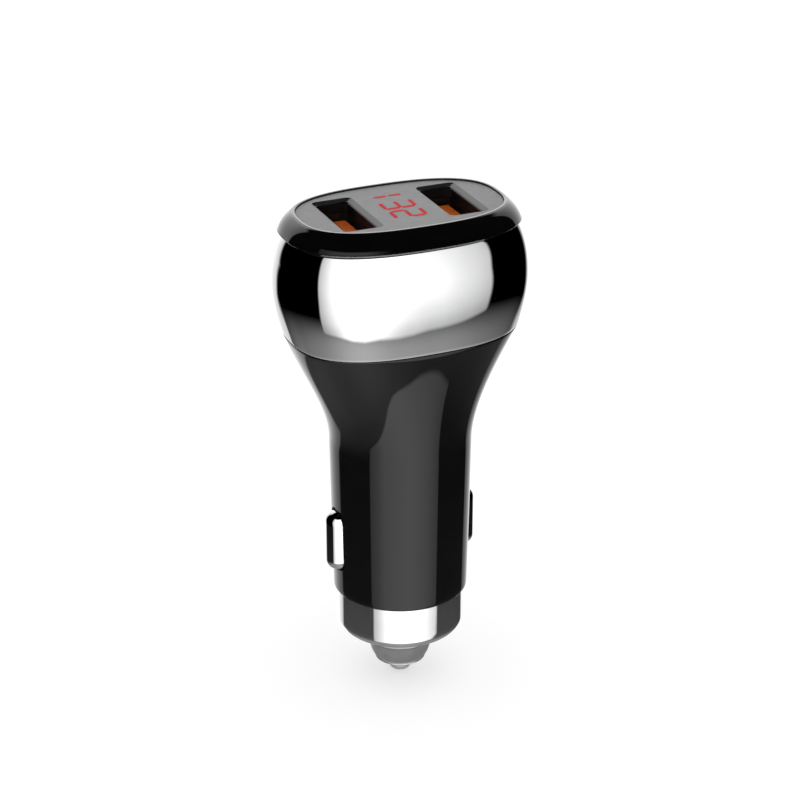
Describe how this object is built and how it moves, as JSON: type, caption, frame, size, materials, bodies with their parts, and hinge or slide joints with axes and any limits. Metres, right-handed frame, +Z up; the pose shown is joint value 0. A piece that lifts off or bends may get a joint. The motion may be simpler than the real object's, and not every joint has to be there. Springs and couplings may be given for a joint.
{
  "type": "car usb charger plug",
  "caption": "USB charger plug for a car's accessory socket: oval head with USB sockets and a lit digit display, bulging bright band, sprung side contacts and sprung tip.",
  "frame": {"origin": "centre of the body's lower rim, where the collar meets the body; the collar's wall runs down from it", "axes": "+Z up the plug from its tip to its face, +X along the head's length, +Y to the back of the face"},
  "size_m": [0.038, 0.0266, 0.0779],
  "materials": {
    "face_grey": "satin, even grey",
    "segment_red": "lit from behind",
    "cap_black": "high gloss",
    "band_chrome": "mirror plated",
    "body_black": "gloss moulded",
    "collar_chrome": "mirror plated",
    "nose_satin": "satin, fine turning lines",
    "contact_nickel": "bright nickel plating",
    "contact_chrome": "mirror plated",
    "spring_steel": "drawn wire",
    "insulator_cream": "moulded",
    "strip_brass": "rolled strip",
    "board_green": "solder mask",
    "shell_tin": "tinned sheet",
    "tongue_orange": "satin moulded",
    "module_black": "moulded",
    "ferrite_grey": "sintered",
    "winding_copper": "enamelled wire",
    "capacitor_can": "drawn can",
    "chip_black": "moulded epoxy",
    "fuse_white": "glazed"
  },
  "bodies": {
    "root": {"face_panel": "face_grey", "lit_segments": "segment_red", "bezel_cap": "cap_black", "chrome_band": "band_chrome", "main_housing": "body_black", "collar_ring": "collar_chrome", "tip_spring": "spring_steel", "tip_seat": "insulator_cream", "contact_plate": "strip_brass", "spring_carrier": "insulator_cream", "left_contact_spring": "spring_steel", "right_contact_spring": "spring_steel", "main_board": "board_green", "port_board": "board_green", "left_usb_shell": "shell_tin", "right_usb_shell": "shell_tin", "left_usb_tongue": "tongue_orange", "right_usb_tongue": "tongue_orange", "left_usb_strips": "strip_brass", "right_usb_strips": "strip_brass", "display_module": "module_black", "display_leads": "shell_tin", "inductor_core": "ferrite_grey", "inductor_winding": "winding_copper", "input_capacitor": "capacitor_can", "output_capacitor": "capacitor_can", "regulator_chip": "chip_black", "charge_chip": "chip_black", "input_fuse": "fuse_white", "input_diode": "chip_black"},
    "tip": {"tip_nose": "nose_satin", "tip_contact": "contact_nickel"},
    "left_contact": {"left_side_contact": "contact_chrome"},
    "right_contact": {"right_side_contact": "contact_chrome"}
  },
  "joints": [
    {"name": "tip_press", "type": "slide", "parent": "root", "child": "tip", "axis": [0, 0, 1], "range_m": [0, 0.002], "stiffness_N_per_m": 300, "springref_m": -0.004, "deforming": ["tip_spring"]},
    {"name": "left_contact_press", "type": "slide", "parent": "root", "child": "left_contact", "axis": [1, 0, 0], "range_m": [0, 0.0017], "stiffness_N_per_m": 300, "springref_m": -0.003, "deforming": ["left_contact_spring"]},
    {"name": "right_contact_press", "type": "slide", "parent": "root", "child": "right_contact", "axis": [-1, 0, 0], "range_m": [0, 0.0017], "stiffness_N_per_m": 300, "springref_m": -0.003, "deforming": ["right_contact_spring"]}
  ]
}
